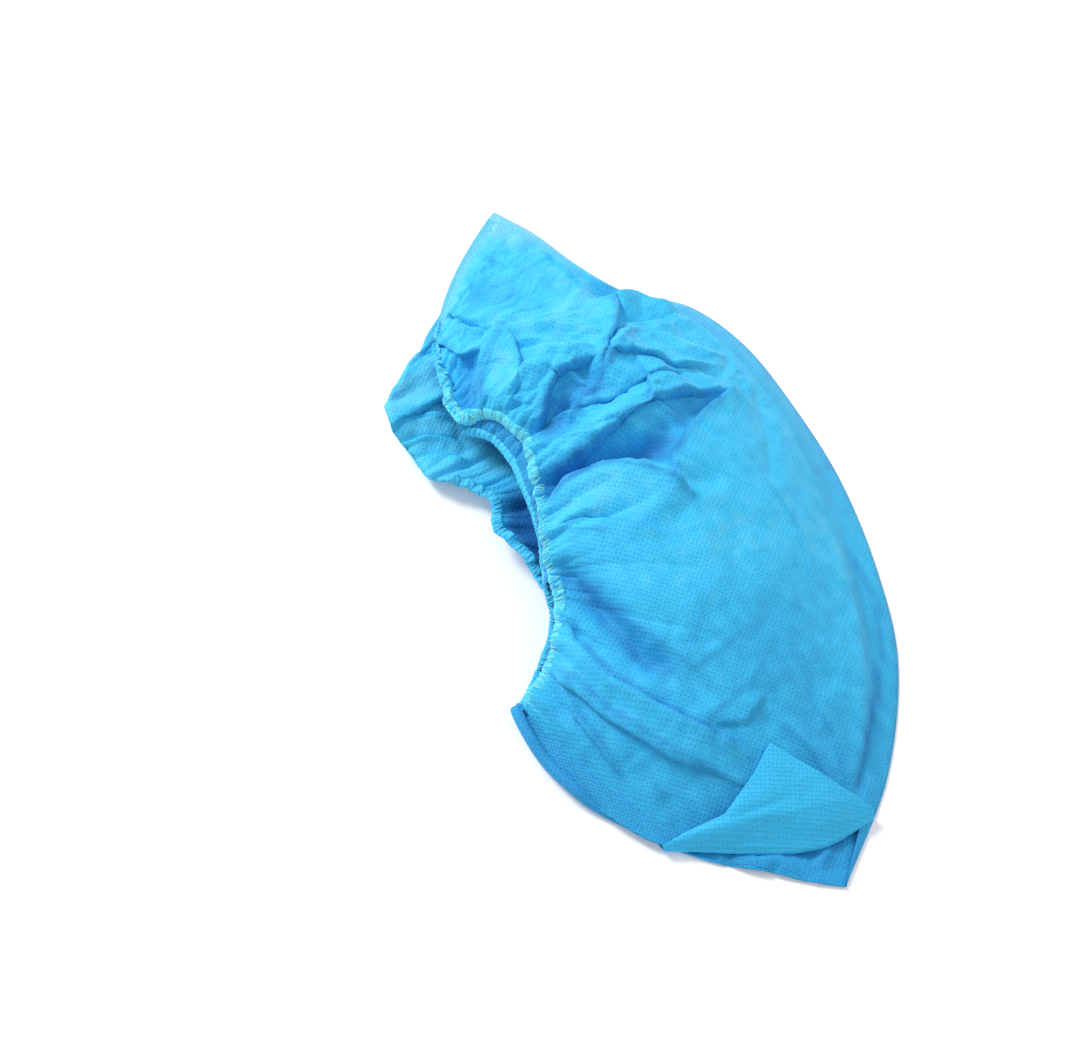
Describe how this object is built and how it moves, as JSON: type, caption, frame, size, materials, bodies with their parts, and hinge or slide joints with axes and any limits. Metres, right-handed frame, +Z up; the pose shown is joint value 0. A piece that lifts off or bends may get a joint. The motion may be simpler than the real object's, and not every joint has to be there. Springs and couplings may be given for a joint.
{
  "type": "shoe cover",
  "caption": "Disposable nonwoven shoe cover lying on its side, with an elastic gathered mouth, sewn end seams and one toe corner turned up.",
  "frame": {"origin": "middle of the floor face of the whole cover's box, on the surface it lies on", "axes": "+Y along the sole fold from the toe end to the heel end, +X from the gathered mouth to the sole fold, +Z up from the surface"},
  "size_m": [0.1639, 0.342, 0.0421],
  "materials": {
    "cloth": "bright blue point-bonded nonwoven, matte with a soft sheen, slightly see-through",
    "hem_cloth": "the same blue nonwoven gathered tightly over elastic, with pale cream thread",
    "seam_cloth": "two layers of the same blue nonwoven pressed and stitched flat"
  },
  "bodies": {
    "root": {"cover_body": "cloth", "elastic_hem": "hem_cloth", "hem_frill": "hem_cloth", "toe_seam": "seam_cloth", "heel_seam": "seam_cloth"}
  },
  "joints": []
}
